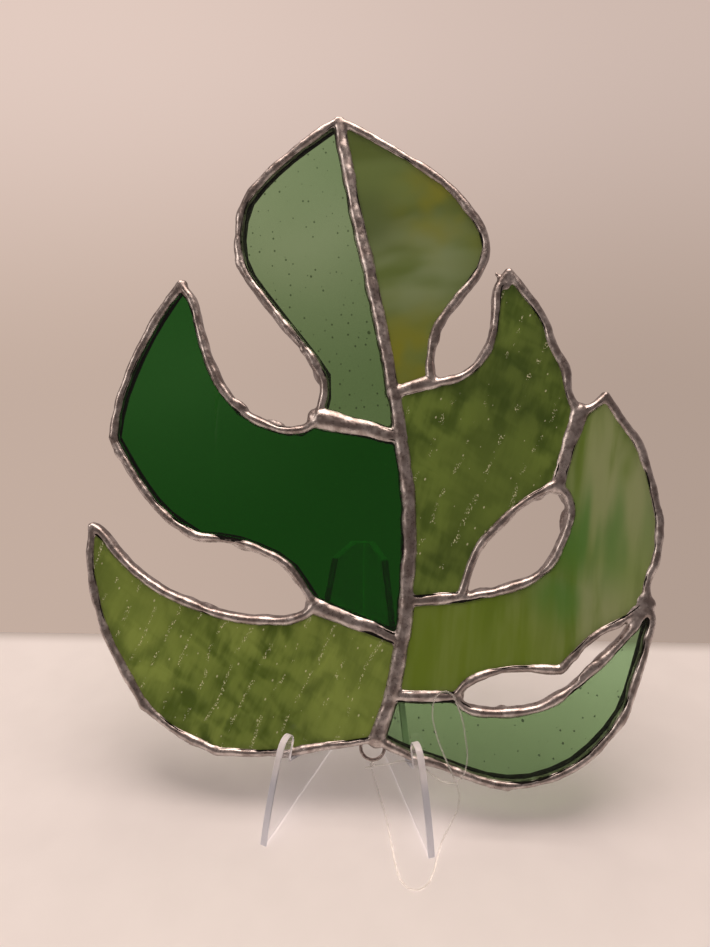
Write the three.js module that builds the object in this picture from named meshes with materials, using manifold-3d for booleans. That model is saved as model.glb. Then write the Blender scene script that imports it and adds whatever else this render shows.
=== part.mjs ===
// A stained glass monstera leaf: seven panes of glass, each wrapped in copper foil and
// joined with solder, with a jump ring and a nylon hanging line at the stem. It rests, tip
// up, on an easel made from one sheet of clear acrylic folded into a V.
// Millimetres, +Z up, +X to the right and +Y to the back; the origin is at the middle of
// the bottom of the whole object.
import * as THREE from 'three';
import { mergeVertices } from 'three/addons/utils/BufferGeometryUtils.js';
import Module from 'manifold-3d';

const wasm = await Module();
wasm.setup();

// Driving dimensions.
const GLASS_THICKNESS = 3;
const FOIL_THICKNESS = 0.2;
const FOIL_FRONT = 0.8; // how far the foil laps over the front of the glass
const FOIL_BACK = 1.7; // and over its back
const SOLDER_THICKNESS = 5.1;
const GAP = 0.22; // between glass, foil and solder
const PIECE_GAP = 0.3; // between one solder run and the next, and where the leaf rests
const BEAD_OUTSIDE = 0.8; // the edge bead, from the pattern line outwards
const BEAD_INSIDE = 2; // and inwards over the glass
const GLASS_INSET = 0.9; // from the pattern line to the cut glass
const SAMPLE_STEP = 7.5; // longest stretch between two points of a smooth line

const RING_RADIUS = 3.8;
const RING_WIRE = 1;
const RING_CENTRE = [6.3, 2.3];
const RING_DEPTH = -2.75; // behind the middle of the glass, on the back of the seam

const SHEET = 2.2; // the easel's acrylic
const WING_ANGLE = THREE.MathUtils.degToRad(20); // each wing from the line straight ahead
const LEAN = THREE.MathUtils.degToRad(25); // the leaf, back from upright
const SEAT = [52.8, 17.1]; // lowest point of the seat: along the wing, and height
const SEAT_DEPTH = 6.5; // across the seat, square to the leaf
const LEAF_LOW = -0.5; // the leaf's own height where it meets the seat

const LINE_DIAMETER = 0.5;

// ---------------------------------------------------------------------------
// The leaf's pattern, in its own plane: across, and up from the easel's seat.

const JOINT = {
  apex: [-12.7, 211.5],
  tipRight: [9.3, 117.4],
  tipLeft: [12, 102.7],
  middleRight: [15.7, 50],
  lowerLeft: [14.6, 37.1],
  lowerRight: [11.8, 20],
  stem: [7.3, 5.6],
  leftFork: [-16, 108.6],
  leftBay: [-14.6, 47.2],
  rightFork: [21.8, 121],
  notch: [69.2, 112.5],
  eyeTop: [62.5, 88.5],
  eyeFoot: [33.4, 52],
  slitLeft: [32.6, 20.8],
  slitRight: [91, 52],
};

// A smooth line through a few points, cut into steps of even length.
function smooth(...points) {
  const curve = new THREE.SplineCurve(points.map(([x, y]) => new THREE.Vector2(x, y)));
  return curve.getSpacedPoints(Math.max(1, Math.ceil(curve.getLength() / SAMPLE_STEP)));
}

// The seams between panes, each from the spine outwards.
const SEAMS = {
  spine_tip: smooth(JOINT.apex, [-6.5, 183], [2, 149.5], JOINT.tipRight),
  spine_upper: smooth(JOINT.tipRight, JOINT.tipLeft),
  spine_middle: smooth(JOINT.tipLeft, [15, 84], JOINT.middleRight),
  spine_lower: smooth(JOINT.middleRight, JOINT.lowerLeft),
  spine_stem: smooth(JOINT.lowerLeft, JOINT.lowerRight),
  spine_foot: smooth(JOINT.lowerRight, JOINT.stem),
  vein_upper_left: smooth(JOINT.tipLeft, JOINT.leftFork),
  vein_lower_left: smooth(JOINT.lowerLeft, JOINT.leftBay),
  vein_upper_right: smooth(JOINT.tipRight, JOINT.rightFork),
  vein_middle_right: smooth(JOINT.middleRight, JOINT.eyeFoot),
  vein_lower_right: smooth(JOINT.lowerRight, [23, 20.2], JOINT.slitLeft),
  seam_right: smooth(JOINT.eyeTop, [66.4, 103], JOINT.notch),
};

// The free edges of the lobes, each in stretches that meet at a tip or a corner.
const EDGES = {
  tip_left: [
    smooth(JOINT.apex, [-29.2, 198.9], [-38.5, 189.6], [-44, 181.8], [-45.9, 171.5], [-44.9, 162],
      [-41.5, 155.2], [-30, 141], [-17.5, 126], [-14.4, 119.5], JOINT.leftFork),
  ],
  upper_left: [
    smooth(JOINT.leftFork, [-21, 105], [-36, 107.8], [-44, 113.6], [-51.4, 124.5], [-55.8, 136],
      [-59.2, 147], [-64.3, 154.2]),
    smooth([-64.3, 154.2], [-75.2, 135.7], [-83.2, 114.3], [-85.3, 99.6]),
    smooth([-85.3, 99.6], [-75.4, 84.9], [-66, 74.5], [-53.8, 67]),
    smooth([-53.8, 67], [-42.5, 66.4], [-31.5, 63], [-23, 58.4], JOINT.leftBay),
  ],
  lower_left: [
    smooth(JOINT.leftBay, [-18.5, 44], [-30.5, 42.3], [-43.5, 43.3], [-54.3, 46.4], [-65.7, 51],
      [-80, 61.5], [-86.3, 68.6], [-90.3, 70.6]),
    smooth([-90.3, 70.6], [-90, 57], [-84.1, 36.8], [-76.8, 23.9], [-69, 12]),
    smooth([-69, 12], [-58, 4.6], [-44, -1.2]),
    smooth([-44, -1.2], [-30, -0.9], [-18, 0.4], [-5.8, 3], [1.5, 4.3], JOINT.stem),
  ],
  tip_right: [
    smooth(JOINT.apex, [4, 202.3], [16.5, 194.7], [25, 188.5], [33, 179.3], [38.1, 170.5],
      [38.5, 164.5], [36.3, 158], [28.3, 146.8], [23.5, 139], [21.6, 130], JOINT.rightFork),
  ],
  upper_right: [
    smooth(JOINT.rightFork, [32.6, 124.8], [37.6, 130.4], [40.6, 138], [41.4, 146], [42.2, 154.4],
      [45.8, 159.2]),
    smooth([45.8, 159.2], [58, 142.6], [61.5, 133.2], [65, 127], [66.4, 118.3], JOINT.notch),
  ],
  eye_upper: [
    smooth(JOINT.eyeTop, [52.4, 82.4], [45.5, 75.5], [39, 68], JOINT.eyeFoot),
  ],
  middle_right: [
    smooth(JOINT.notch, [73.4, 115.3], [77.6, 119]),
    smooth([77.6, 119], [81.8, 112.2], [87.5, 104.3], [91.2, 94.8], [94, 83], [94.9, 76],
      [94, 66.3], [91.3, 59], JOINT.slitRight),
    smooth(JOINT.slitRight, [87, 48.6], [77.6, 42.8], [71.6, 38], [64.8, 30]),
    smooth([64.8, 30], [53.5, 30], [42.5, 28], [36, 24.6], JOINT.slitLeft),
  ],
  eye_lower: [
    smooth(JOINT.eyeTop, [66.2, 82.5], [63.4, 70.4], [58.2, 61.6], [49.5, 56.8], JOINT.eyeFoot),
  ],
  lower_right: [
    smooth(JOINT.slitLeft, [35, 18.4], [42.5, 17], [50.5, 17.6], [59, 19.9], [67, 25.2],
      [75.2, 33], [83.2, 41.6], JOINT.slitRight),
    smooth(JOINT.slitRight, [92.8, 48], [91.3, 40], [88.2, 28.2], [85, 18.4], [79.2, 9.9], [70, 1],
      [59.4, -4.2], [50.9, -5.9], [41, -5.2], [28, -1.5], [17, 1.5], JOINT.stem),
  ],
};

const back = (points) => [...points].reverse();

// One closed outline from stretches that share their end points, counter-clockwise.
function closed(...stretches) {
  const outline = [];
  for (const point of stretches.flat()) {
    if (!outline.length || outline.at(-1).distanceTo(point) > 0.01) outline.push(point);
  }
  if (outline[0].distanceTo(outline.at(-1)) < 0.01) outline.pop();
  return THREE.ShapeUtils.isClockWise(outline) ? outline.reverse() : outline;
}

const S = SEAMS;
const edge = (name) => EDGES[name].flat();
const PANES = {
  tip_left: closed(edge('tip_left'), back(S.vein_upper_left), back(S.spine_upper), back(S.spine_tip)),
  tip_right: closed(edge('tip_right'), back(S.vein_upper_right), back(S.spine_tip)),
  upper_left: closed(S.spine_middle, S.spine_lower, S.vein_lower_left, back(edge('upper_left')),
    back(S.vein_upper_left)),
  lower_left: closed(S.spine_stem, S.spine_foot, back(edge('lower_left')), back(S.vein_lower_left)),
  upper_right: closed(S.vein_upper_right, edge('upper_right'), back(S.seam_right), edge('eye_upper'),
    back(S.vein_middle_right), back(S.spine_middle), back(S.spine_upper)),
  middle_right: closed(S.vein_middle_right, back(edge('eye_lower')), S.seam_right,
    edge('middle_right'), back(S.vein_lower_right), back(S.spine_stem), back(S.spine_lower)),
  lower_right: closed(S.vein_lower_right, edge('lower_right'), back(S.spine_foot)),
};

// ---------------------------------------------------------------------------
// Outlines and solids.

const leftOf = (direction) => new THREE.Vector2(-direction.y, direction.x);

function clearance(point, outline) {
  return Math.min(...outline.map((start, i) => {
    const side = outline[(i + 1) % outline.length].clone().sub(start);
    const along = THREE.MathUtils.clamp(point.clone().sub(start).dot(side) / side.lengthSq(), 0, 1);
    return point.distanceTo(start.clone().addScaledVector(side, along));
  }));
}

// Where two straight sides meet, each given by a point and a direction.
function crossing(pointA, alongA, pointB, alongB) {
  const distance = pointB.clone().sub(pointA).cross(alongB) / alongA.cross(alongB);
  return pointA.clone().addScaledVector(alongA, distance);
}

// An outline moved inwards, or outwards by a negative distance. Corners that the move
// swallows are left out, and the sides beside them run on until they meet.
function inset(outline, distance) {
  const count = outline.length;
  const wrap = (i) => (i + count) % count;
  const sides = outline.map((point, i) => outline[wrap(i + 1)].clone().sub(point).normalize());
  const reach = distance < 0 ? 1.5 : 10; // an outward tip is blunted, an inward one is sharp
  const corners = outline.map((point, i) => {
    const bisector = leftOf(sides[wrap(i - 1)].clone().add(sides[i])).normalize();
    const stretch = Math.min(1 / bisector.dot(leftOf(sides[i])), reach);
    return point.clone().addScaledVector(bisector, distance * stretch);
  });
  const kept = corners.map((corner) => clearance(corner, outline) > Math.abs(distance) - 0.02);
  const moved = [];
  for (let i = 0; i < count; i++) {
    if (kept[i]) {
      moved.push(corners[i]);
    } else if (kept[wrap(i - 1)]) {
      let next = i;
      while (!kept[wrap(next)]) next++;
      moved.push(crossing(corners[wrap(i - 1)], sides[wrap(i - 1)], corners[wrap(next)],
        sides[wrap(next - 1)]));
    }
  }
  return moved;
}

// A closed geometry as a solid, for cutting and joining.
function solid(geometry) {
  const bare = geometry.clone();
  bare.deleteAttribute('normal');
  bare.deleteAttribute('uv');
  const merged = mergeVertices(bare, 1e-4);
  return new wasm.Manifold(new wasm.Mesh({
    numProp: 3,
    vertProperties: new Float32Array(merged.attributes.position.array),
    triVerts: new Uint32Array(merged.index.array),
  }));
}

// A solid's surface as a geometry, for a mesh.
function surface(cutSolid) {
  const { vertProperties, triVerts } = cutSolid.getMesh();
  const geometry = new THREE.BufferGeometry();
  geometry.setAttribute('position', new THREE.BufferAttribute(vertProperties, 3));
  geometry.setIndex(new THREE.BufferAttribute(triVerts, 1));
  geometry.computeVertexNormals();
  return geometry;
}

// A flat plate of an outline, half of its thickness on each side of the leaf's middle plane.
function plate(outline, thickness) {
  const geometry = new THREE.ExtrudeGeometry(new THREE.Shape(outline), {
    depth: thickness,
    bevelEnabled: false,
  });
  return solid(geometry.translate(0, 0, -thickness / 2));
}

// The outline of a strip along a line, with a half width that changes evenly from its
// start to its end, and a square end that runs past each end point.
function strip(line, halfStart, halfEnd, past) {
  const last = line.length - 1;
  const points = line.map((point) => point.clone());
  const first = points[0].clone().sub(points[1]).normalize();
  const end = points[last].clone().sub(points[last - 1]).normalize();
  points[0].addScaledVector(first, past);
  points[last].addScaledVector(end, past);
  const sideways = points.map((point, i) => {
    const before = points[Math.max(i - 1, 0)];
    const after = points[Math.min(i + 1, last)];
    const half = THREE.MathUtils.lerp(halfStart, halfEnd, i / last);
    return leftOf(after.clone().sub(before).normalize()).multiplyScalar(half);
  });
  const right = points.map((point, i) => point.clone().sub(sideways[i]));
  const left = points.map((point, i) => point.clone().add(sideways[i]));
  return closed(right, left.reverse());
}

function finish(color, roughness, metalness, opacity = 1) {
  return new THREE.MeshStandardMaterial({
    color,
    roughness,
    metalness,
    opacity,
    transparent: opacity < 1,
  });
}

function piece(name, geometry, material) {
  const mesh = new THREE.Mesh(geometry, material);
  mesh.name = name;
  return mesh;
}

const leaf = new THREE.Group();

// ---------------------------------------------------------------------------
// The glass panes, each inside a copper foil channel that is folded over its edge.

const GLASS_COLOURS = {
  tip_left: 0x8fae86,
  tip_right: 0x8f9a4e,
  upper_left: 0x145a28,
  lower_left: 0x56702a,
  upper_right: 0x4f6f2a,
  middle_right: 0x8fb060,
  lower_right: 0x86b08a,
};

// How far the back lap's opening lies off the middle of its pane: to the right, and up.
const FOIL_OFF_CENTRE = {
  tip_left: [0.6, 0],
  upper_left: [0.3, 0],
  lower_right: [-0.2, 0.5],
};

const foilInside = GLASS_INSET - GAP;
const foilOutside = foilInside - FOIL_THICKNESS;
const channelInside = GLASS_THICKNESS + 2 * GAP;
const channelOutside = channelInside + 2 * FOIL_THICKNESS;
const slots = [];

for (const [lobe, outline] of Object.entries(PANES)) {
  const glass = plate(inset(outline, GLASS_INSET), GLASS_THICKNESS);
  leaf.add(piece(`glass_${lobe}`, surface(glass), finish(GLASS_COLOURS[lobe], 0.1, 0, 0.85)));

  const [right, up] = FOIL_OFF_CENTRE[lobe] ?? [0, 0];
  const backWindow = plate(inset(outline, GLASS_INSET + FOIL_BACK), channelOutside)
    .translate([right, up, -channelInside]);
  const frontWindow = plate(inset(outline, GLASS_INSET + FOIL_FRONT), channelOutside)
    .translate([0, 0, channelInside]);
  const foil = plate(inset(outline, foilOutside), channelOutside)
    .subtract(plate(inset(outline, foilInside), channelInside))
    .subtract(backWindow)
    .subtract(frontWindow);
  leaf.add(piece(`foil_${lobe}`, surface(foil), finish(0x2b2320, 0.6, 0.6)));

  slots.push(plate(inset(outline, foilOutside - GAP), channelOutside + 2 * GAP));
}

// ---------------------------------------------------------------------------
// The jump ring, lying on the back of the seam where the spine ends.

const ringPlace = [...RING_CENTRE, RING_DEPTH];
const ring = new THREE.TorusGeometry(RING_RADIUS, RING_WIRE / 2, 8, 20).translate(...ringPlace);
const ringRoom = new THREE.TorusGeometry(RING_RADIUS, RING_WIRE / 2 + GAP, 8, 20);
leaf.add(piece('hanging_ring', ring, finish(0x9a948e, 0.3, 1)));

// ---------------------------------------------------------------------------
// The solder: one run down the spine, a run on each vein, and a bead on each free edge.

const taken = [...slots, solid(ringRoom.translate(...ringPlace))];
const without = (blank, cutters) => cutters.reduce((rest, cutter) => rest.subtract(cutter), blank);
const solderFinish = () => finish(0x8b827c, 0.35, 0.95);

const RUNS = [
  { name: 'spine', line: joined('spine_tip', 'spine_upper', 'spine_middle', 'spine_lower',
    'spine_stem', 'spine_foot'), halfStart: 2.3, halfEnd: 2.7, past: 0.2 },
  { name: 'vein_upper_left', line: SEAMS.vein_upper_left, halfStart: 2.2, halfEnd: 3.5, past: 1 },
  { name: 'vein_lower_left', line: SEAMS.vein_lower_left, halfStart: 2.2, halfEnd: 3.2, past: 1 },
  { name: 'vein_upper_right', line: SEAMS.vein_upper_right, halfStart: 2.3, halfEnd: 2.5, past: 1 },
  { name: 'vein_middle_right', line: SEAMS.vein_middle_right, halfStart: 2.1, halfEnd: 2.3, past: 1 },
  { name: 'vein_lower_right', line: SEAMS.vein_lower_right, halfStart: 2.2, halfEnd: 2.2, past: 1 },
  { name: 'seam_right', line: SEAMS.seam_right, halfStart: 2.9, halfEnd: 3.2, past: 1 },
];

function joined(...names) {
  const line = names.flatMap((name) => SEAMS[name]);
  return line.filter((point, i) => i === 0 || point.distanceTo(line[i - 1]) > 0.01);
}

for (const { name, line, halfStart, halfEnd, past } of RUNS) {
  const blank = plate(strip(line, halfStart, halfEnd, past), SOLDER_THICKNESS);
  leaf.add(piece(`solder_${name}`, surface(without(blank, taken)), solderFinish()));
  const room = strip(line, halfStart + PIECE_GAP, halfEnd + PIECE_GAP, past + PIECE_GAP);
  taken.push(plate(room, SOLDER_THICKNESS + 1));
}

// Two lobes also border the eye between them, so their beads come in two pieces.
const SECOND_BEAD = { upper_right: 'eye_upper', middle_right: 'eye_lower' };

for (const [lobe, outline] of Object.entries(PANES)) {
  const blank = plate(inset(outline, -BEAD_OUTSIDE), SOLDER_THICKNESS)
    .subtract(plate(inset(outline, BEAD_INSIDE), SOLDER_THICKNESS + 1));
  const beads = without(blank, taken).decompose().sort((a, b) => b.volume() - a.volume());
  leaf.add(piece(`solder_edge_${lobe}`, surface(beads[0]), solderFinish()));
  if (SECOND_BEAD[lobe]) {
    leaf.add(piece(`solder_edge_${SECOND_BEAD[lobe]}`, surface(beads[1]), solderFinish()));
  }
  taken.push(plate(inset(outline, -BEAD_OUTSIDE - PIECE_GAP), SOLDER_THICKNESS + 1));
}

// ---------------------------------------------------------------------------
// The easel: one acrylic sheet with a fold down the back. Each wing has a straight foot, a
// hook at the front, a seat square to the leaf, and a sloping edge that the leaf leans on.

const FOLD_HEIGHT = 70;
const BACKREST_TOP = 75;
const FOOT_REACH = 75.4;

const forwards = 1 / Math.cos(WING_ANGLE); // reach along the wing for a millimetre to the front

function wingOutline() {
  const [seatReach, seatHeight] = SEAT;
  const topReach = seatReach - (BACKREST_TOP - seatHeight) * Math.tan(LEAN) * forwards;
  const lipReach = seatReach + SEAT_DEPTH * Math.cos(LEAN) * forwards;
  const lipHeight = seatHeight + SEAT_DEPTH * Math.sin(LEAN);
  const outline = new THREE.Shape();
  outline.moveTo(0, 0);
  outline.lineTo(FOOT_REACH, 0);
  outline.quadraticCurveTo(72, 12, 64.2, 25.6);
  outline.quadraticCurveTo(62.2, 29.2, 59.4, 29.2);
  outline.quadraticCurveTo(56.3, 29.2, 56.3, 25.6);
  outline.lineTo(lipReach, lipHeight);
  outline.lineTo(seatReach, seatHeight);
  outline.lineTo(topReach, BACKREST_TOP);
  outline.lineTo(9, BACKREST_TOP - 0.8);
  outline.lineTo(0, FOLD_HEIGHT);
  return outline;
}

function wing(side) {
  const along = new THREE.Vector3(side * Math.sin(WING_ANGLE), -Math.cos(WING_ANGLE), 0);
  const up = new THREE.Vector3(0, 0, 1);
  const geometry = new THREE.ExtrudeGeometry(wingOutline(), {
    depth: SHEET,
    bevelEnabled: false,
    curveSegments: 5,
  });
  geometry.translate(0, 0, -SHEET / 2);
  const across = new THREE.Vector3().crossVectors(along, up);
  return solid(geometry.applyMatrix4(new THREE.Matrix4().makeBasis(along, up, across)));
}

const fold = new THREE.CylinderGeometry(SHEET / 2, SHEET / 2, FOLD_HEIGHT, 16)
  .rotateX(Math.PI / 2)
  .translate(0, 0, FOLD_HEIGHT / 2);
const easel = wing(-1).add(wing(1)).add(solid(fold));

// ---------------------------------------------------------------------------
// The leaf in its seat, and the whole object over its origin.

const object = new THREE.Group();
object.add(piece('easel', surface(easel), finish(0xdfe4e8, 0.08, 0, 0.35)));

const tilt = Math.PI / 2 - LEAN;
const cornerRoom = (SHEET / 2) * Math.sin(WING_ANGLE);
leaf.rotation.x = tilt;
leaf.position.set(0, -SEAT[0] / forwards, SEAT[1]);
leaf.updateMatrix();
leaf.translateZ(SOLDER_THICKNESS / 2 + cornerRoom + PIECE_GAP);
leaf.translateY(PIECE_GAP + cornerRoom - LEAF_LOW);
object.add(leaf);

const standing = new THREE.Box3().setFromObject(object);
const middle = standing.getCenter(new THREE.Vector3());
object.position.set(-middle.x, -middle.y, -standing.min.z);

// ---------------------------------------------------------------------------
// The nylon hanging line, loose: a loop knotted under the jump ring. From the knot it runs
// under the leaf's edge and over the right seat, curls up in front of the glass and over,
// drops to the surface outside the right foot, turns round in front of it and climbs back.

const KNOT_RADIUS = 0.8;
const KNOT_DROP = 5.3; // from the middle of the ring
const LINE_STEPS = 78;

const LINE_ROUTE = [
  [5.2, -35.4, 15.7], [9, -36.2, 17], [13, -36.8, 19.1], [16.4, -36.8, 19.2], [18.9, -36.9, 18.85],
  [21.1, -37.5, 17.5], [23.6, -38.6, 16], [26.9, -40.1, 15.3], [31.1, -41.9, 17.4], [33.5, -41.2, 23.6],
  [32.9, -38.2, 31.3], [30.7, -33.6, 38.3], [27.6, -30.6, 41.8], [24.4, -31, 41.2],
  [22.8, -33, 37.6], [23.8, -37.2, 31.9], [26.9, -42.2, 26.3], [30.4, -45.2, 19.5],
  [31.6, -45.2, 12], [29.8, -46.4, 6], [26.8, -50.4, 1.8], [25.2, -55.6, 0.4], [23.9, -60.6, 0.3],
  [21.9, -64.6, 0.3], [18.4, -66.4, 0.3], [15.2, -64.6, 0.3], [13.1, -59.4, 0.3],
  [11.6, -52.6, 0.5], [9.6, -45.2, 3.2], [7, -39.6, 7.6], [4.9, -36.6, 12.2], [4.2, -35.7, 14.2],
];

const nylon = finish(0xe8ecec, 0.15, 0, 0.6);
const knot = new THREE.SphereGeometry(KNOT_RADIUS, 8, 6);
knot.translate(RING_CENTRE[0], RING_CENTRE[1] - KNOT_DROP, RING_DEPTH);
leaf.add(piece('line_knot', knot, nylon));

const lineSection = new THREE.Shape();
lineSection.absarc(0, 0, LINE_DIAMETER / 2, 0, 2 * Math.PI);
const lineRoute = new THREE.CatmullRomCurve3(LINE_ROUTE.map((place) => new THREE.Vector3(...place)));
const line = new THREE.ExtrudeGeometry(lineSection, {
  steps: LINE_STEPS,
  curveSegments: 8,
  extrudePath: lineRoute,
});

const whole = new THREE.Group();
whole.add(object, piece('hanging_line', line, nylon));

export default whole;
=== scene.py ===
import math
import random

import bmesh
import bpy
from mathutils import Matrix, Vector


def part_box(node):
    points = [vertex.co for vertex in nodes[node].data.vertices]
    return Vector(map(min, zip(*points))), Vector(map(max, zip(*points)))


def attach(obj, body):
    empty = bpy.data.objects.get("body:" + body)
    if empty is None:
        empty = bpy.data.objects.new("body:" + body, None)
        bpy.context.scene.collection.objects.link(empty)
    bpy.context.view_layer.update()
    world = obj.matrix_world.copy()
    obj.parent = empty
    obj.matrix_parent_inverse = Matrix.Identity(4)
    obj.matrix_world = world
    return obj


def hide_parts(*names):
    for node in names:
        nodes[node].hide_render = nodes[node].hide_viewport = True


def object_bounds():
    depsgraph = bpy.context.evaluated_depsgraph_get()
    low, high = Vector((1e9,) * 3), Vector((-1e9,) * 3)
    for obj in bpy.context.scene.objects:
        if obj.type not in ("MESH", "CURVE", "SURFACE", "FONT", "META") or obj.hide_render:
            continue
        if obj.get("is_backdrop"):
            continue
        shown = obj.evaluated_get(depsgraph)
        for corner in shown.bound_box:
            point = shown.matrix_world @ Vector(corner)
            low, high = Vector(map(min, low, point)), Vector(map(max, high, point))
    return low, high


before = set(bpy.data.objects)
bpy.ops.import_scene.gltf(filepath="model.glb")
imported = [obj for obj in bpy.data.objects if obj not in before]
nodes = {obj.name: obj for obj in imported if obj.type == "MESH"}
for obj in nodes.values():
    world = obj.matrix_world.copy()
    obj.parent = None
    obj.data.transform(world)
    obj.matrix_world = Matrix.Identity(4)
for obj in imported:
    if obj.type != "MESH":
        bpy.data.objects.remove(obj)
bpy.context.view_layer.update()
scene = bpy.context.scene
random.seed(7)

# ---------------------------------------------------------------------------
# The clear panes: the left half of the tip and the lowest right lobe are pale sea green
# seedy glass, and the big upper left lobe is deep green cathedral glass. Each is cut from a
# 3 mm sheet, smooth on both sides, with small bubbles drawn out in the melt.

LEAF_STEM = Vector((-2.134, -36.396, 19.529))  # the pattern's zero point, millimetres
LEAF_TILT = math.radians(65)  # from lying flat; the leaf leans back 25 degrees
leaf_matrix = Matrix.Scale(0.001, 4) @ Matrix.Translation(LEAF_STEM) @ Matrix.Rotation(LEAF_TILT, 4, "X")


def put(tree, kind, inputs=None, **settings):
    """A node with its settings, and its inputs set or linked."""
    node = tree.nodes.new(kind)
    for key, value in settings.items():
        setattr(node, key, value)
    for key, value in (inputs or {}).items():
        if isinstance(value, bpy.types.NodeSocket):
            tree.links.new(value, node.inputs[key])
        else:
            node.inputs[key].default_value = value
    return node


def new_material(name):
    material = bpy.data.materials.new(name)
    material.use_nodes = True
    material.node_tree.nodes.clear()
    return material, material.node_tree


def pattern_place(tree):
    """Millimetres across and up the leaf, and through its thickness."""
    where = put(tree, "ShaderNodeTexCoord")
    return put(tree, "ShaderNodeMapping", {
        "Vector": where.outputs["Object"], "Location": LEAF_STEM / 1000,
        "Rotation": (LEAF_TILT, 0, 0), "Scale": (0.001, 0.001, 0.001)},
        vector_type="TEXTURE").outputs[0]


def math_node(tree, operation, first, second=0.0, third=0.0):
    return put(tree, "ShaderNodeMath", {0: first, 1: second, 2: third}, operation=operation).outputs[0]


def blend_colour(tree, factor, first, second):
    return put(tree, "ShaderNodeMix", {0: factor, 6: first, 7: second}, data_type="RGBA").outputs[2]


def fade(tree, value, low, high, to_low=0.0, to_high=1.0):
    return put(tree, "ShaderNodeMapRange", {
        "Value": value, "From Min": low, "From Max": high, "To Min": to_low, "To Max": to_high},
        interpolation_type="SMOOTHSTEP").outputs[0]


def stretched(tree, place, across, up, turn=0.0):
    """The place turned in the leaf's plane, and then scaled across and up."""
    return put(tree, "ShaderNodeMapping", {
        "Vector": place, "Rotation": (0, 0, math.radians(turn)), "Scale": (1 / across, 1 / up, 1)},
        vector_type="TEXTURE").outputs[0]


def cloud(tree, place, scale, detail=2.0, distortion=0.0):
    return put(tree, "ShaderNodeTexNoise", {
        "Vector": place, "Scale": scale, "Detail": detail, "Distortion": distortion}).outputs[0]


def near(tree, place, x, y, inner, outer):
    """1 near a point of the pattern, fading to 0 at the outer distance."""
    away = put(tree, "ShaderNodeVectorMath", {0: place, 1: (x, y, 0)}, operation="SUBTRACT").outputs[0]
    flat = put(tree, "ShaderNodeVectorMath", {0: away, 1: (1, 1, 0)}, operation="MULTIPLY").outputs[0]
    distance = put(tree, "ShaderNodeVectorMath", {0: flat}, operation="LENGTH").outputs["Value"]
    return fade(tree, distance, inner, outer, 1.0, 0.0)


def new_group(name, inputs, outputs):
    group = bpy.data.node_groups.new(name, "ShaderNodeTree")
    for label, kind, value in inputs:
        socket = group.interface.new_socket(label, in_out="INPUT", socket_type=kind)
        if value is not None:
            socket.default_value = value
    for label, kind in outputs:
        group.interface.new_socket(label, in_out="OUTPUT", socket_type=kind)
    return group, group.nodes.new("NodeGroupInput"), group.nodes.new("NodeGroupOutput")


# Bubbles in the glass: small round dots, some cells of the sheet without one.
seeds, seeds_in, seeds_out = new_group(
    "glass_seeds",
    [("Place", "NodeSocketVector", None), ("Spacing", "NodeSocketFloat", 6.0),
     ("Radius", "NodeSocketFloat", 0.3), ("Share", "NodeSocketFloat", 0.6)],
    [("Mask", "NodeSocketFloat")])
seed_scale = math_node(seeds, "DIVIDE", 1.0, seeds_in.outputs["Spacing"])
seed_cells = put(seeds, "ShaderNodeTexVoronoi", {
    "Vector": seeds_in.outputs["Place"], "Scale": seed_scale, "Randomness": 1.0},
    voronoi_dimensions="2D")
seed_reach = math_node(seeds, "MULTIPLY", seed_cells.outputs["Distance"], seeds_in.outputs["Spacing"])
seed_draw = put(seeds, "ShaderNodeSeparateColor", {0: seed_cells.outputs["Color"]})
seed_size = math_node(seeds, "MULTIPLY", seeds_in.outputs["Radius"],
                      fade(seeds, seed_draw.outputs[1], 0.0, 1.0, 0.45, 1.3))
seed_inside = math_node(seeds, "SUBTRACT", 1.0, math_node(
    seeds, "DIVIDE", seed_reach, seed_size))
seed_round = fade(seeds, seed_inside, 0.0, 0.35)
seed_kept = math_node(seeds, "LESS_THAN", seed_draw.outputs[0], seeds_in.outputs["Share"])
seeds.links.new(math_node(seeds, "MULTIPLY", seed_round, seed_kept), seeds_out.inputs["Mask"])


def seeds_on(tree, place, spacing, radius, share):
    """The bubbles of one sheet, drawn on its front face only."""
    node = put(tree, "ShaderNodeGroup", node_tree=seeds)
    tree.links.new(place, node.inputs["Place"])
    node.inputs["Spacing"].default_value = spacing
    node.inputs["Radius"].default_value = radius
    node.inputs["Share"].default_value = share
    depth = put(tree, "ShaderNodeSeparateXYZ", {0: place}).outputs[2]
    front = math_node(tree, "GREATER_THAN", depth, 0.5)
    return math_node(tree, "MULTIPLY", node.outputs["Mask"], front)


def light_passes(tree, body, tint):
    """Lets the lamps' light through the glass, tinted, and shows the body to every other ray."""
    lamp_ray = put(tree, "ShaderNodeLightPath").outputs["Is Shadow Ray"]
    passing = put(tree, "ShaderNodeBsdfTransparent", {"Color": (*tint, 1)})
    both = put(tree, "ShaderNodeMixShader", {0: lamp_ray, 1: body.outputs[0], 2: passing.outputs[0]})
    put(tree, "ShaderNodeOutputMaterial", {"Surface": both.outputs[0]})


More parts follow.
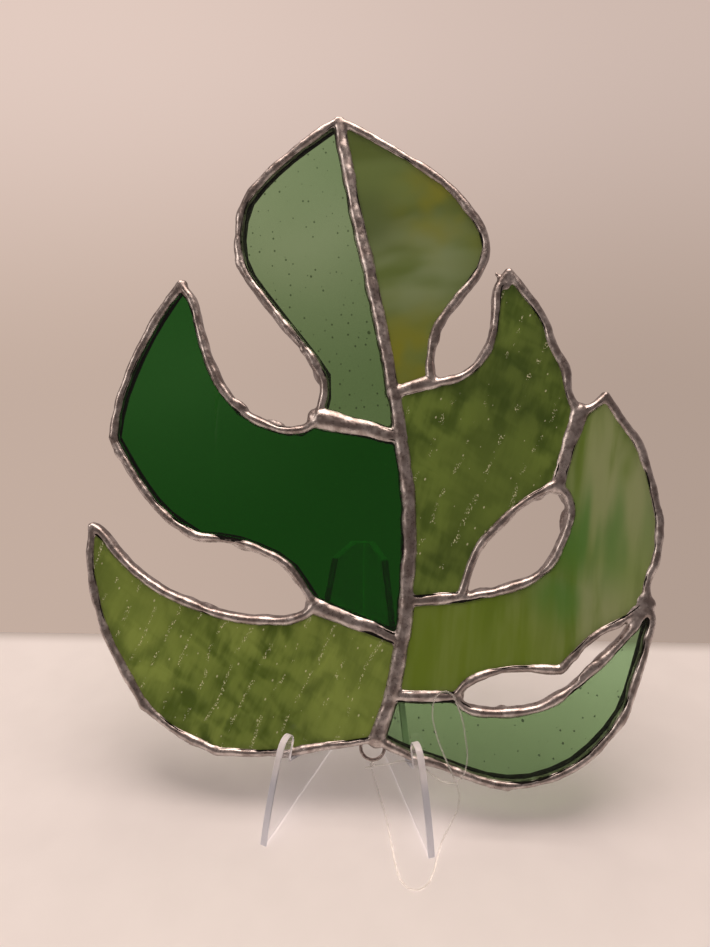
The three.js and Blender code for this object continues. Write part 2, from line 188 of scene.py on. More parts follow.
def clear_glass(name, tint, pale, painted_light_spot, seed_colour, seed_radius, seed_share, wave):
    """Glass that is smooth on both sides, paler towards one spot with painted light; a spot is its place and
    its inner and outer reach.
    """
    material, tree = new_material(name)
    place = pattern_place(tree)
    # Towards the spot the tint fades to the paler colour: painted light, with some random drift.
    painted_light_drift = fade(tree, cloud(tree, stretched(tree, place, 0.5, 1), 0.022, 1.5), 0.3, 0.7, 0.6, 1.0)
    painted_light_drift = math_node(tree, "MULTIPLY", painted_light_drift, near(tree, place, *painted_light_spot))
    colour = blend_colour(tree, painted_light_drift, (*tint, 1), (*pale, 1))
    small = seeds_on(tree, stretched(tree, place, 1, 0.9, 8), 3.6, seed_radius, seed_share)
    large = seeds_on(tree, stretched(tree, place, 1, 0.85, 30), 8.5, seed_radius * 1.7, 0.35)
    dots = math_node(tree, "MAXIMUM", small, large)
    colour = blend_colour(tree, dots, colour, (*seed_colour, 1))
    swell = cloud(tree, place, 0.045, 1.0)
    height = math_node(tree, "ADD", swell, math_node(tree, "MULTIPLY", dots, 0.03))
    bump = put(tree, "ShaderNodeBump", {"Strength": wave, "Distance": 0.0012, "Height": height})
    body = put(tree, "ShaderNodeBsdfPrincipled", {
        "Base Color": colour, "Roughness": 0.03, "IOR": 1.5, "Transmission Weight": 1.0,
        "Normal": bump.outputs[0]})
    light_passes(tree, body, tint)
    return material


# The ground rim of every pane is stuck to the foil with its dark glue.
rim_glue, tree = new_material("dark_rim_glue")
smears = cloud(tree, pattern_place(tree), 0.7, 2.0)
tone = blend_colour(tree, fade(tree, smears, 0.4, 0.7), (0.006, 0.007, 0.005, 1), (0.016, 0.015, 0.011, 1))
bump = put(tree, "ShaderNodeBump", {"Strength": 0.2, "Distance": 0.0002, "Height": smears})
body = put(tree, "ShaderNodeBsdfPrincipled", {
    "Base Color": tone, "Roughness": 0.7, "Specular IOR Level": 0.15, "Normal": bump.outputs[0]})
put(tree, "ShaderNodeOutputMaterial", {"Surface": body.outputs[0]})


def glaze(lobe, material):
    """A pane from its cut shape: its two faces in the glass, and its rim dark with glue."""
    shape = bmesh.new()
    shape.from_mesh(nodes[f"glass_{lobe}"].data)
    bmesh.ops.remove_doubles(shape, verts=shape.verts, dist=1e-6)
    shape.normal_update()
    towards_front = (leaf_matrix.to_3x3() @ Vector((0, 0, 1))).normalized()
    for face in shape.faces:
        face.material_index = 0 if abs(face.normal.dot(towards_front)) > 0.7 else 1
    mesh = bpy.data.meshes.new(f"pane_{lobe}")
    shape.to_mesh(mesh)
    shape.free()
    pane = bpy.data.objects.new(f"pane_{lobe}", mesh)
    scene.collection.objects.link(pane)
    mesh.materials.append(material)
    mesh.materials.append(rim_glue)
    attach(pane, "root")
    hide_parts(f"glass_{lobe}")


glaze("tip_left", clear_glass(
    "pale_sage_seedy_glass", tint=(0.175, 0.335, 0.14), pale=(0.325, 0.505, 0.29),
    painted_light_spot=(-28, 180, 12, 70), seed_colour=(0.03, 0.06, 0.02), seed_radius=0.31, seed_share=0.66,
    wave=0.12))
glaze("lower_right", clear_glass(
    "pale_sea_green_seedy_glass", tint=(0.285, 0.475, 0.235), pale=(0.345, 0.555, 0.315),
    painted_light_spot=(84, 52, 6, 62), seed_colour=(0.03, 0.06, 0.03), seed_radius=0.32, seed_share=0.55,
    wave=0.12))
glaze("upper_left", clear_glass(
    "deep_green_cathedral_glass", tint=(0.003, 0.096, 0.003), pale=(0.024, 0.160, 0.026),
    painted_light_spot=(-66, 138, 8, 80), seed_colour=(0.03, 0.16, 0.03), seed_radius=0.16, seed_share=0.08,
    wave=0.10))

# ---------------------------------------------------------------------------
# The wispy half of the tip and the streaky middle right lobe: opalescent glass, in which
# white and coloured glass were stirred together, so the colour lies in soft wisps and
# streaks along the pull of the sheet. It is half opaque, with a fire-polished face.


def opal_body(tree, colour, height, strength, through=0.3):
    """Half clear, clouded inside, under a bright skin; its rim shows darker where foil lies behind."""
    bump = put(tree, "ShaderNodeBump", {"Strength": strength, "Distance": 0.001, "Height": height})
    body = put(tree, "ShaderNodeBsdfPrincipled", {
        "Base Color": colour, "Roughness": 0.42, "IOR": 1.5, "Specular IOR Level": 0.1,
        "Transmission Weight": through, "Coat Weight": 0.7, "Coat Roughness": 0.08,
        "Normal": bump.outputs[0], "Coat Normal": bump.outputs[0]})
    put(tree, "ShaderNodeOutputMaterial", {"Surface": body.outputs[0]})


wispy, tree = new_material("wispy_olive_glass")
place = pattern_place(tree)
bands = cloud(tree, stretched(tree, place, 0.35, 1.0, 12), 0.045, 2.0, 0.6)
colour = blend_colour(tree, fade(tree, bands, 0.30, 0.70), (0.115, 0.178, 0.024, 1), (0.185, 0.275, 0.070, 1))
pale_belt = math_node(tree, "MULTIPLY", near(tree, place, 16, 160, 4, 30),
                      fade(tree, cloud(tree, stretched(tree, place, 0.4, 1, 10), 0.08), 0.3, 0.6))
colour = blend_colour(tree, pale_belt, colour, (0.295, 0.395, 0.190, 1))
amber = math_node(tree, "MAXIMUM", near(tree, place, 25, 181, 1, 27), near(tree, place, 14, 129, 1, 28))
amber = math_node(tree, "MULTIPLY", amber, fade(tree, cloud(tree, place, 0.06), 0.3, 0.62))
colour = blend_colour(tree, amber, colour, (0.280, 0.300, 0.022, 1))
# Darker along the spine: painted shade.
painted_shade = near(tree, place, -2, 176, 3, 17)
colour = blend_colour(tree, math_node(tree, "MULTIPLY", painted_shade, 0.45), colour, (0.070, 0.115, 0.026, 1))
opal_body(tree, colour, cloud(tree, place, 0.05, 2.0), 0.15)
glaze("tip_right", wispy)

streaky, tree = new_material("streaky_green_cream_glass")
place = pattern_place(tree)
pull = cloud(tree, stretched(tree, place, 1.0, 0.16, -4), 0.12, 3.0, 0.35)
fine_pull = cloud(tree, stretched(tree, place, 1.0, 0.10, -4), 0.42, 2.0, 0.2)
colour = blend_colour(tree, fade(tree, pull, 0.36, 0.62), (0.150, 0.265, 0.018, 1), (0.325, 0.440, 0.135, 1))
colour = blend_colour(tree, math_node(tree, "MULTIPLY", fade(tree, fine_pull, 0.4, 0.68), 0.4), colour,
                      (0.125, 0.215, 0.022, 1))
cream = math_node(tree, "MAXIMUM", near(tree, place, 86, 92, 6, 40), near(tree, place, 72, 50, 2, 24))
cream = math_node(tree, "MULTIPLY", cream, fade(tree, pull, 0.25, 0.6))
colour = blend_colour(tree, cream, colour, (0.390, 0.470, 0.215, 1))
moss = math_node(tree, "MAXIMUM", near(tree, place, 73, 76, 4, 28), near(tree, place, 63, 52, 2, 13))
soft_pull = cloud(tree, stretched(tree, place, 1.0, 0.14, -4), 0.17, 1.0)
moss = math_node(tree, "MULTIPLY", moss, fade(tree, soft_pull, 0.38, 0.66))
colour = blend_colour(tree, math_node(tree, "MULTIPLY", moss, 0.85), colour, (0.100, 0.285, 0.045, 1))
lime = math_node(tree, "MAXIMUM", near(tree, place, 24, 36, 8, 44), near(tree, place, 50, 36, 2, 30))
colour = blend_colour(tree, math_node(tree, "MULTIPLY", lime, 0.7), colour, (0.205, 0.312, 0.020, 1))
opal_body(tree, colour, pull, 0.15)
glaze("middle_right", streaky)

# ---------------------------------------------------------------------------
# The upper right and lower left lobes: olive rippled glass. One face is rolled with an
# irregular ripple that mottles the colour, and fine bubbles caught in the rolling lie in
# slanting rows; their glints are painted highlights, bright dots in the colour.

glints, glints_in, glints_out = new_group(
    "glint_rows",
    [("Place", "NodeSocketVector", None), ("Slant", "NodeSocketFloat", 0.3),
     ("Spacing", "NodeSocketFloat", 9.0), ("Amount", "NodeSocketFloat", 0.5)],
    [("Mask", "NodeSocketFloat")])
glint_axis = put(glints, "ShaderNodeSeparateXYZ", {0: glints_in.outputs["Place"]})
glint_wander = math_node(glints, "MULTIPLY", cloud(glints, glints_in.outputs["Place"], 0.05, 1.0), 7.0)
glint_across = math_node(glints, "ADD", math_node(
    glints, "MULTIPLY_ADD", glint_axis.outputs[1], glints_in.outputs["Slant"], glint_axis.outputs[0]),
    glint_wander)
glint_step = math_node(glints, "FRACT", math_node(
    glints, "DIVIDE", glint_across, glints_in.outputs["Spacing"]))
glint_off = math_node(glints, "ABSOLUTE", math_node(glints, "SUBTRACT", glint_step, 0.5))
glint_row = fade(glints, glint_off, 0.03, 0.08, 1.0, 0.0)
glint_dash = fade(glints, cloud(glints, stretched(glints, glints_in.outputs["Place"], 1.4, 0.8), 2.1, 1.0),
                  0.56, 0.62)
glint_patch = math_node(glints, "LESS_THAN", cloud(glints, glints_in.outputs["Place"], 0.30, 1.0),
                        glints_in.outputs["Amount"])
glints.links.new(math_node(glints, "MULTIPLY", math_node(glints, "MULTIPLY", glint_row, glint_dash),
                           glint_patch), glints_out.inputs["Mask"])


def rippled_glass(name, deep, light, dusk, pale_spots, slant, spacing, amount, turn):
    """Rolled glass; the slant, spacing and amount belong to its rows of painted bubble glints."""
    material, tree = new_material(name)
    place = pattern_place(tree)
    roll = cloud(tree, stretched(tree, place, 1.0, 0.5, turn), 0.14, 1.5, 0.6)
    grain = cloud(tree, stretched(tree, place, 0.4, 1.0, turn - 15), 0.19, 1.5, 0.6)
    fine = cloud(tree, stretched(tree, place, 1.5, 0.35, turn), 0.5, 2.0, 0.3)
    mottle = math_node(tree, "ADD", math_node(tree, "MULTIPLY", roll, 0.55),
                       math_node(tree, "MULTIPLY", grain, 0.45))
    mottle = math_node(tree, "MULTIPLY_ADD", fine, 0.20, math_node(tree, "SUBTRACT", mottle, 0.10))
    colour = blend_colour(tree, fade(tree, mottle, 0.34, 0.63), (*deep, 1), (*light, 1))
    broad = fade(tree, cloud(tree, place, 0.034, 1.0), 0.38, 0.62)
    colour = blend_colour(tree, math_node(tree, "MULTIPLY", broad, 0.4), colour, (*dusk, 1))
    spots = [near(tree, place, *spot) for spot in pale_spots]
    pale = math_node(tree, "MULTIPLY", math_node(tree, "MAXIMUM", spots[0], spots[-1]), 0.5)
    colour = blend_colour(tree, pale, colour, (*light, 1))
    rows = put(tree, "ShaderNodeGroup", node_tree=glints)
    tree.links.new(place, rows.inputs["Place"])
    rows.inputs["Slant"].default_value = slant
    rows.inputs["Spacing"].default_value = spacing
    rows.inputs["Amount"].default_value = amount
    loose = seeds_on(tree, stretched(tree, place, 1, 0.6, -20), 4.2, 0.24, 0.35)
    painted_glints = math_node(tree, "MAXIMUM", rows.outputs["Mask"], math_node(tree, "MULTIPLY", loose, 0.7))
    # The glints of the rows and of the loose bubbles: painted highlights.
    colour = blend_colour(tree, painted_glints, colour, (0.98, 1.0, 0.66, 1))
    height = math_node(tree, "ADD", roll, math_node(tree, "MULTIPLY", grain, 0.35))
    opal_body(tree, colour, height, 0.5, through=0.35)
    return material


glaze("upper_right", rippled_glass(
    "mottled_olive_rippled_glass", deep=(0.068, 0.130, 0.008), light=(0.202, 0.308, 0.048),
    dusk=(0.050, 0.092, 0.009), pale_spots=[(38, 88, 6, 30)], slant=-0.42, spacing=11.0, amount=0.45,
    turn=-16))
glaze("lower_left", rippled_glass(
    "moss_rippled_glass", deep=(0.082, 0.145, 0.008), light=(0.335, 0.460, 0.085),
    dusk=(0.112, 0.190, 0.014), pale_spots=[(-72, 48, 6, 34), (4, 22, 6, 34)], slant=-0.42, spacing=8.6,
    amount=0.51, turn=-20))

# ---------------------------------------------------------------------------
# The copper foil: black-backed foil tape wrapped round each pane's rim and folded over both
# faces. Only its dark inner side shows, through the clear panes.

foil_black, tree = new_material("dark_copper_foil")
wrinkle = cloud(tree, pattern_place(tree), 0.9, 3.0)
tone = blend_colour(tree, fade(tree, wrinkle, 0.4, 0.7), (0.004, 0.004, 0.003, 1), (0.012, 0.010, 0.008, 1))
bump = put(tree, "ShaderNodeBump", {"Strength": 0.4, "Distance": 0.0002, "Height": wrinkle})
body = put(tree, "ShaderNodeBsdfPrincipled", {
    "Base Color": tone, "Roughness": 0.7, "Specular IOR Level": 0.15, "Normal": bump.outputs[0]})
put(tree, "ShaderNodeOutputMaterial", {"Surface": body.outputs[0]})
for name, node in nodes.items():
    if name.startswith("foil_"):
        node.data.materials.clear()
        node.data.materials.append(foil_black)

# ---------------------------------------------------------------------------
# The solder: tin and lead run over every foil with an iron. A raised run covers each seam,
# and a bead wraps each free edge, all in one piece, lumpy where the iron stopped, with
# blobs where runs meet. Half widths and places are millimetres in the leaf's plane.

apex, stem = (-12.7, 211.5), (7.3, 5.6)
tip_right_joint, tip_left_joint = (9.3, 117.4), (12, 102.7)
middle_joint, low_left_joint, low_right_joint = (15.7, 50), (14.6, 37.1), (11.8, 20)
left_fork, left_bay, right_fork, notch = (-16, 108.6), (-14.6, 47.2), (21.8, 121), (69.2, 112.5)
eye_top, eye_foot, slit_left, slit_right = (62.5, 88.5), (33.4, 52), (32.6, 20.8), (91, 52)


def oval(half_width, half_height, middle):
    """The section of a run: a full, rounded oval, moved sideways from the pattern line."""
    curve = bpy.data.curves.new("section", "CURVE")
    spline = curve.splines.new("POLY")
    count = 20
    spline.points.add(count - 1)
    for i, point in enumerate(spline.points):
        c, s = math.cos(math.tau * i / count), math.sin(math.tau * i / count)
        x = middle + half_width * math.copysign(abs(c) ** 0.92, c)
        point.co = (x, half_height * s, 0, 1)
    spline.use_cyclic_u = True
    section = bpy.data.objects.new("section", curve)
    scene.collection.objects.link(section)
    return section


def lay_solder(pool, points, section, start=1.0, end=1.0):
    """One run through the points, added to the pool; its width changes from start to end."""
    curve = bpy.data.curves.new("run", "CURVE")
    curve.dimensions = "2D"
    curve.fill_mode = "NONE"
    curve.bevel_mode = "OBJECT"
    curve.bevel_object = section
    curve.use_fill_caps = True
    curve.resolution_u = 10
    spline = curve.splines.new("BEZIER")
    spline.bezier_points.add(len(points) - 1)
    for i, (point, (x, y)) in enumerate(zip(spline.bezier_points, points)):
        point.co = (x, y, 0)
        point.handle_left_type = point.handle_right_type = "AUTO"
        share = i / (len(points) - 1)
        point.radius = (start + (end - start) * share) * random.uniform(0.95, 1.07)
    run = bpy.data.objects.new("run", curve)
    scene.collection.objects.link(run)
    bpy.context.view_layer.update()
    mesh = bpy.data.meshes.new_from_object(run.evaluated_get(bpy.context.evaluated_depsgraph_get()))
    pool.from_mesh(mesh)
    bpy.data.objects.remove(run)
    bpy.data.meshes.remove(mesh)


def blob(pool, x, y, radius, n=0.0, flat=0.75, long=1.0, turn=0.0):
    shape = Matrix.Translation((x, y, n)) @ Matrix.Rotation(turn, 4, "Z") @ Matrix.Diagonal(
        (radius * long, radius, radius * flat, 1))
    bmesh.ops.create_icosphere(pool, subdivisions=2, radius=1, matrix=shape)


HALF_SOLDER = 2.55  # half the run's thickness, through the leaf
LUMP_SHARE, LUMP_RUN = 0.4, 4  # how many lengths carry a lump, and the shortest that does
GRAIN = 0.46  # the fineness at which the runs melt together
pool = bmesh.new()
spine_section, seam_section = oval(2.5, HALF_SOLDER, 0), oval(2.4, 2.4, 0)
wide_section = oval(2.9, 2.45, 0)
edge_on_left, edge_on_right = oval(1.65, HALF_SOLDER - 0.1, -0.7), oval(1.65, HALF_SOLDER - 0.1, 0.7)

lay_solder(pool, [apex, (-6.5, 183), (2, 149.5), tip_right_joint, tip_left_joint, (15, 84),
                  middle_joint, low_left_joint, low_right_joint, stem], spine_section, 1.0, 1.2)
lay_solder(pool, [tip_left_joint, (-1, 105.4), left_fork], wide_section, 0.98, 1.35)
lay_solder(pool, [low_left_joint, (0.5, 42.2), left_bay], wide_section, 0.85, 1.15)
lay_solder(pool, [tip_right_joint, (16, 119.4), right_fork], seam_section, 1.0, 1.12)
lay_solder(pool, [middle_joint, (24, 50.8), eye_foot], seam_section, 0.95, 1.05)
lay_solder(pool, [low_right_joint, (23, 20.2), slit_left], seam_section, 0.95, 1.0)
lay_solder(pool, [eye_top, (66.4, 103), notch], wide_section, 0.98, 1.08)

LEFT_EDGES = [
    [apex, (-29.2, 198.9), (-38.5, 189.6), (-44, 181.8), (-45.9, 171.5), (-44.9, 162), (-41.5, 155.2),
     (-30, 141), (-17.5, 126), (-14.4, 119.5), left_fork],
    [left_fork, (-21, 105), (-36, 107.8), (-44, 113.6), (-51.4, 124.5), (-55.8, 136), (-59.2, 147),
     (-64.3, 154.2)],
    [(-64.3, 154.2), (-75.2, 135.7), (-83.2, 114.3), (-85.3, 99.6)],
    [(-85.3, 99.6), (-75.4, 84.9), (-66, 74.5), (-53.8, 67)],
    [(-53.8, 67), (-42.5, 66.4), (-31.5, 63), (-23, 58.4), left_bay],
    [left_bay, (-18.5, 44), (-30.5, 42.3), (-43.5, 43.3), (-54.3, 46.4), (-65.7, 51), (-80, 61.5),
     (-86.3, 68.6), (-90.3, 70.6)],
    [(-90.3, 70.6), (-90, 57), (-84.1, 36.8), (-76.8, 23.9), (-69, 12)],
    [(-69, 12), (-58, 4.6), (-44, -1.2)],
    [(-44, -1.2), (-30, -0.9), (-18, 0.4), (-5.8, 3), (1.5, 4.3), stem],
    [eye_top, (66.2, 82.5), (63.4, 70.4), (58.2, 61.6), (49.5, 56.8), eye_foot],
]
RIGHT_EDGES = [
    [apex, (4, 202.3), (16.5, 194.7), (25, 188.5), (33, 179.3), (38.1, 170.5), (38.5, 164.5),
     (36.3, 158), (28.3, 146.8), (23.5, 139), (21.6, 130), right_fork],
    [right_fork, (32.6, 124.8), (37.6, 130.4), (40.6, 138), (41.4, 146), (42.2, 154.4), (45.8, 159.2)],
    [(45.8, 159.2), (58, 142.6), (61.5, 133.2), (65, 127), (66.4, 118.3), notch],
    [eye_top, (52.4, 82.4), (45.5, 75.5), (39, 68), eye_foot],
    [notch, (73.4, 115.3), (77.6, 119)],
    [(77.6, 119), (81.8, 112.2), (87.5, 104.3), (91.2, 94.8), (94, 83), (94.9, 76), (94, 66.3),
     (91.3, 59), slit_right],
    [slit_right, (87, 48.6), (77.6, 42.8), (71.6, 38), (64.8, 30)],
    [(64.8, 30), (53.5, 30), (42.5, 28), (36, 24.6), slit_left],
    [slit_left, (35, 18.4), (42.5, 17), (50.5, 17.6), (59, 19.9), (67, 25.2), (75.2, 33), (83.2, 41.6),
     slit_right],
    [slit_right, (92.8, 48), (91.3, 40), (88.2, 28.2), (85, 18.4), (79.2, 9.9), (70, 1), (59.4, -4.2),
     (50.9, -5.9), (41, -5.2), (28, -1.5), (17, 1.5), stem],
]
for edges, section in ((LEFT_EDGES, edge_on_left), (RIGHT_EDGES, edge_on_right)):
    for points in edges:
        lay_solder(pool, points, section)

for (x, y), radius in (((-12.4, 210.0), 2.6), (tip_right_joint, 3.2), (tip_left_joint, 3.3),
                       (middle_joint, 3.2), (low_left_joint, 3.2), (low_right_joint, 3.3), (stem, 2.9),
                       (left_fork, 3.4), (left_bay, 2.9), (right_fork, 2.9), (notch, 3.4), (eye_top, 2.9),
                       (eye_foot, 2.7), (slit_left, 2.6), (slit_right, 2.9)):
    blob(pool, x, y, radius, flat=0.84)
for x, y in ((-63.7, 153), (-84, 99.6), (-53.6, 68), (-89.3, 69.3), (-68, 12.8), (-43.6, 0), (45.8, 157.6),
             (77.2, 117.4), (64.6, 31.2)):
    blob(pool, x, y, 1.9, flat=1.25)

# Where the iron stopped: low lumps and laps along the beads, most of them on the free side.
for points in LEFT_EDGES + RIGHT_EDGES:
    for (x0, y0), (x1, y1) in zip(points, points[1:]):
        length = math.hypot(x1 - x0, y1 - y0)
        if length < LUMP_RUN or random.random() > LUMP_SHARE:
            continue
        share = random.uniform(0.2, 0.8)
        turn = math.atan2(y1 - y0, x1 - x0)
        side = random.uniform(-0.4, 0.4)
        blob(pool, x0 + (x1 - x0) * share - side * math.sin(turn), y0 + (y1 - y0) * share
             + side * math.cos(turn), random.uniform(1.2, 1.5), n=random.choice((-1, 1)) * 1.25,
             flat=0.85, long=random.uniform(1.6, 4.0), turn=turn)
# A web of solder fills the end of the slit, and a hood closes the upper right tip.
blob(pool, 89.6, 53.0, 3.0, n=0.3, flat=0.62, long=1.25, turn=1.2)
blob(pool, 86.8, 50.3, 2.2, n=0.2, flat=0.85, long=1.5, turn=0.6)
blob(pool, 44.9, 154.4, 2.1, n=0.2, flat=1.05, long=1.5, turn=1.35)
# A spike of solder drawn out beside the upper right tip.
blob(pool, 43.4, 155.6, 1.1, n=0.6, flat=0.8, long=1.9, turn=1.9)
blob(pool, 41.9, 157.6, 0.7, n=0.6, flat=0.8, long=1.9, turn=2.2)
# The blob that holds the jump ring, on the back of the seam.
blob(pool, 6.5, 6.2, 2.6, n=-2.0, flat=0.55, long=1.3)

solder_mesh = bpy.data.meshes.new("solder")
pool.to_mesh(solder_mesh)
pool.free()
solder = bpy.data.objects.new("solder", solder_mesh)
scene.collection.objects.link(solder)
for section in (spine_section, seam_section, wide_section, edge_on_left, edge_on_right):
    bpy.data.objects.remove(section)

fuse = solder.modifiers.new("fuse", "REMESH")
fuse.mode = "VOXEL"
fuse.voxel_size = GRAIN
soften = solder.modifiers.new("soften", "SMOOTH")
soften.factor, soften.iterations = 0.5, 8


def roughen(piece, name, size, strength, depth=2):
    """Swells and sinks along the surface, as the cooling metal leaves them."""
    texture = bpy.data.textures.new(name, "CLOUDS")
    texture.noise_scale = size
    texture.noise_depth = depth
    swell = piece.modifiers.new(name, "DISPLACE")
    swell.texture = texture
    swell.texture_coords = "LOCAL"
    swell.strength, swell.mid_level = strength, 0.5


roughen(solder, "broad_lumps", 6.5, 0.75, 0)
roughen(solder, "ripples", 2.6, 0.26, 1)
bpy.context.view_layer.update()
cooled = bpy.data.meshes.new_from_object(solder.evaluated_get(bpy.context.evaluated_depsgraph_get()))
cooled.transform(leaf_matrix)
solder.modifiers.clear()
solder.data = cooled
for polygon in cooled.polygons:
    polygon.use_smooth = True

solder_metal, tree = new_material("bright_lumpy_solder")
place = pattern_place(tree)
patches = cloud(tree, place, 0.24, 2.0)
fine = cloud(tree, place, 1.1, 3.0)
smudges = cloud(tree, place, 0.42, 1.0)
patina = math_node(tree, "MULTIPLY", fade(tree, smudges, 0.52, 0.70), 0.40)
tone = blend_colour(tree, fade(tree, patches, 0.38, 0.62), (0.35, 0.30, 0.281, 1), (0.62, 0.565, 0.54, 1))
tone = blend_colour(tree, patina, tone, (0.22, 0.175, 0.155, 1))
rough = fade(tree, fine, 0.35, 0.7, 0.27, 0.42)
pits = put(tree, "ShaderNodeBump", {"Strength": 0.06, "Distance": 0.0003, "Height": fine})
body = put(tree, "ShaderNodeBsdfPrincipled", {
    "Base Color": tone, "Metallic": 1.0, "Roughness": rough, "Normal": pits.outputs[0]})
put(tree, "ShaderNodeOutputMaterial", {"Surface": body.outputs[0]})
solder.data.materials.append(solder_metal)
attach(solder, "root")
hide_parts(*[name for name in nodes if name.startswith("solder_")])

# ---------------------------------------------------------------------------
# The jump ring: tinned copper wire bent round and set in the solder on the back of the
# seam, below the stem, with the lower part of it free for the line.

RING_RADIUS, WIRE = 3.8, 0.56  # millimetres, to the middle of the wire and of the wire itself
RING_MIDDLE = (6.3, 2.3, -2.75)
shape = bmesh.new()
bmesh.ops.create_circle(shape, segments=16, radius=WIRE, matrix=Matrix.Translation(
    (RING_RADIUS, 0, 0)) @ Matrix.Rotation(math.radians(90), 4, "X"))
bmesh.ops.spin(shape, geom=shape.verts[:] + shape.edges[:], cent=(0, 0, 0), axis=(0, 0, 1),
               angle=math.tau, steps=56, use_merge=True)
bmesh.ops.remove_doubles(shape, verts=shape.verts, dist=0.01)
bmesh.ops.recalc_face_normals(shape, faces=shape.faces)
bmesh.ops.translate(shape, verts=shape.verts, vec=RING_MIDDLE)
bmesh.ops.transform(shape, matrix=leaf_matrix, verts=shape.verts)
ring_mesh = bpy.data.meshes.new("jump_ring")
shape.to_mesh(ring_mesh)
shape.free()
for polygon in ring_mesh.polygons:
    polygon.use_smooth = True
ring = bpy.data.objects.new("jump_ring", ring_mesh)
scene.collection.objects.link(ring)

ring_metal, tree = new_material("tinned_copper_wire")
drawn = cloud(tree, pattern_place(tree), 0.6, 2.0)
tone = blend_colour(tree, fade(tree, drawn, 0.4, 0.65), (0.36, 0.30, 0.28, 1), (0.58, 0.52, 0.49, 1))
bump = put(tree, "ShaderNodeBump", {"Strength": 0.08, "Distance": 0.0002, "Height": drawn})
body = put(tree, "ShaderNodeBsdfPrincipled", {
    "Base Color": tone, "Metallic": 1.0, "Roughness": fade(tree, drawn, 0.3, 0.7, 0.18, 0.34),
    "Normal": bump.outputs[0]})
put(tree, "ShaderNodeOutputMaterial", {"Surface": body.outputs[0]})
ring.data.materials.append(ring_metal)
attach(ring, "root")
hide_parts("hanging_ring")

# ---------------------------------------------------------------------------
# The easel: one sheet of clear acrylic, cut and heat-folded down the back into a V. Its
# faces are clear as glass, its front edges are left sawn and satin, greyer on the legs with
# painted shade, and its feet are ground flat. Its feet, its fold and its backrest's edges
# are pale and glow a little: painted light.

WING_ANGLE = math.radians(20)
BACKREST_START = -0.012  # metres; the edges behind this are pale and glow with painted light
FOLD_DEPTH = 0.004
LEG_TOP, HOOK_FOOT = 0.017, 0.024
CLEAR_FACE, SAWN_EDGE, FOOT_AND_FOLD_PAINTED_GLOW, BACKREST_EDGE_PAINTED_GLOW = range(4)
shape = bmesh.new()
shape.from_mesh(nodes["easel"].data)
bmesh.ops.remove_doubles(shape, verts=shape.verts, dist=1e-5)
bmesh.ops.dissolve_limit(shape, angle_limit=math.radians(1.5), verts=shape.verts, edges=shape.edges)
corners = [e for e in shape.edges if len(e.link_faces) == 2 and e.calc_face_angle(0) > math.radians(50)]
bmesh.ops.bevel(shape, geom=corners, offset=0.00028, segments=2, profile=0.5, affect="EDGES", material=-1)
shape.normal_update()
wing_faces = [Vector((math.cos(WING_ANGLE), side * math.sin(WING_ANGLE), 0)) for side in (-1, 1)]
for face in shape.faces:
    clear = any(abs(face.normal.dot(across)) > 0.995 for across in wing_faces)
    middle = face.calc_center_median()
    folded = abs(face.normal.z) < 0.1 and middle.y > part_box("easel")[1].y - FOLD_DEPTH
    resting = face.normal.z < -0.9
    if resting or folded:
        # The resting feet and the folded faces take the pale glowing material: painted light.
        face.material_index = FOOT_AND_FOLD_PAINTED_GLOW
    elif clear:
        face.material_index = CLEAR_FACE
    else:
        face.material_index = BACKREST_EDGE_PAINTED_GLOW if middle.y > BACKREST_START else SAWN_EDGE
easel_mesh = bpy.data.meshes.new("clear_easel")
shape.to_mesh(easel_mesh)
shape.free()
easel = bpy.data.objects.new("clear_easel", easel_mesh)
scene.collection.objects.link(easel)


def acrylic(name, shaded_leg_tint, tint, clearness, roughness, wear, glow=0.0):
    """The sheet's plastic, darker on the legs than on the hooks above them: painted shade on the legs.

    Some edges glow a little by emission: painted light, standing in for light piped along the sheet."""
    material, tree = new_material(name)
    where = put(tree, "ShaderNodeTexCoord").outputs["Object"]
    height = put(tree, "ShaderNodeSeparateXYZ", {0: where}).outputs[2]
    # Darker below LEG_TOP, lighter above HOOK_FOOT: painted shade on the legs.
    tone = blend_colour(tree, fade(tree, height, LEG_TOP, HOOK_FOOT), (*shaded_leg_tint, 1), (*tint, 1))
    scuffs = put(tree, "ShaderNodeTexNoise", {"Vector": where, "Scale": 900.0, "Detail": 3.0}).outputs[0]
    rough = fade(tree, scuffs, 0.45, 0.75, roughness, roughness + wear)
    bump = put(tree, "ShaderNodeBump", {"Strength": wear, "Distance": 0.0002, "Height": scuffs})
    body = put(tree, "ShaderNodeBsdfPrincipled", {
        "Base Color": tone, "Roughness": rough, "IOR": 1.49, "Transmission Weight": clearness,
        "Emission Color": (1.0, 0.90, 0.84, 1), "Emission Strength": glow, "Normal": bump.outputs[0]})
    light_passes(tree, body, tint)
    return material


easel.data.materials.append(acrylic(
    "clear_acrylic", shaded_leg_tint=(0.90, 0.905, 0.93), tint=(0.92, 0.925, 0.945), clearness=0.97,
    roughness=0.01, wear=0.03))
easel.data.materials.append(acrylic(
    "sawn_acrylic_edge", shaded_leg_tint=(0.56, 0.58, 0.66), tint=(0.93, 0.92, 0.94), clearness=0.40,
    roughness=0.30, wear=0.15))
easel.data.materials.append(acrylic(
    "ground_acrylic_foot_and_fold_painted_glow", shaded_leg_tint=(0.97, 0.96, 0.96), tint=(0.97, 0.96, 0.96), clearness=0.10,
    roughness=0.35, wear=0.10, glow=0.14))
easel.data.materials.append(acrylic(
    "acrylic_backrest_edge_painted_glow", shaded_leg_tint=(0.80, 0.81, 0.83), tint=(0.80, 0.81, 0.83), clearness=0.3,
    roughness=0.25, wear=0.05, glow=0.30))
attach(easel, "root")
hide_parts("easel")

# ---------------------------------------------------------------------------
# The hanging line: a loop of clear nylon monofilament, knotted below the jump ring. It is
# springy, and lies over the easel's right seat, up in front of the glass and down to the
# surface round the right foot, and back to its knot.

